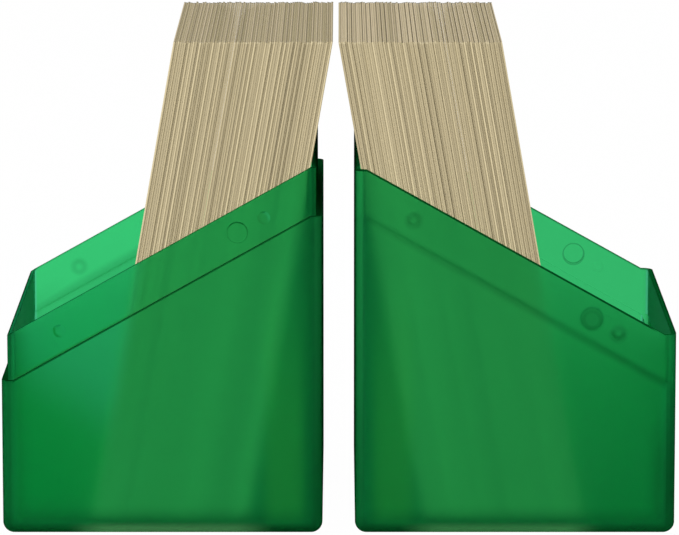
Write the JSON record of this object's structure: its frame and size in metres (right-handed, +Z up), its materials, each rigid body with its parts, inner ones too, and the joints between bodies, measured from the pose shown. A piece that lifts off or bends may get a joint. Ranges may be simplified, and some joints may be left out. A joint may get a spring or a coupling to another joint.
{
  "type": "two-part playing card case",
  "caption": "Frosted see-through card case in two halves with a slanted lap joint, open side by side, with leaning stacks of sleeved cards.",
  "frame": {"origin": "on the table, midway between the open base and the open lid and halfway through their depth", "axes": "+X from the base to the lid, +Y to the back, +Z up"},
  "size_m": [0.125, 0.076, 0.0916],
  "materials": {
    "frosted_green_plastic": "satin, frosted, see-through",
    "card_sleeves": "satin sleeves over card"
  },
  "bodies": {
    "base": {"base_half": "frosted_green_plastic"},
    "lid": {"lid_half": "frosted_green_plastic"},
    "left_stack": {"left_cards_1": "card_sleeves", "left_cards_2": "card_sleeves", "left_cards_3": "card_sleeves", "left_cards_4": "card_sleeves", "left_cards_5": "card_sleeves", "left_cards_6": "card_sleeves", "left_cards_7": "card_sleeves", "left_cards_8": "card_sleeves"},
    "right_stack": {"right_cards_1": "card_sleeves", "right_cards_2": "card_sleeves", "right_cards_3": "card_sleeves", "right_cards_4": "card_sleeves", "right_cards_5": "card_sleeves", "right_cards_6": "card_sleeves", "right_cards_7": "card_sleeves", "right_cards_8": "card_sleeves"},
    "left_drawn_card": {"left_end_card": "card_sleeves"},
    "right_drawn_card": {"right_end_card": "card_sleeves"}
  },
  "joints": [
    {"name": "lid_lift", "type": "slide", "parent": "base", "child": "lid", "axis": [0, 0, 1], "range_m": [0, 0.12]},
    {"name": "left_stack_lift", "type": "slide", "parent": "base", "child": "left_stack", "axis": [0, 0, 1], "range_m": [0, 0.095]},
    {"name": "right_stack_lift", "type": "slide", "parent": "lid", "child": "right_stack", "axis": [0, 0, 1], "range_m": [0, 0.095]},
    {"name": "left_card_draw", "type": "slide", "parent": "left_stack", "child": "left_drawn_card", "axis": [0.1736, 0, 0.9848], "range_m": [0, 0.1]},
    {"name": "right_card_draw", "type": "slide", "parent": "right_stack", "child": "right_drawn_card", "axis": [-0.1736, 0, 0.9848], "range_m": [0, 0.1]}
  ]
}
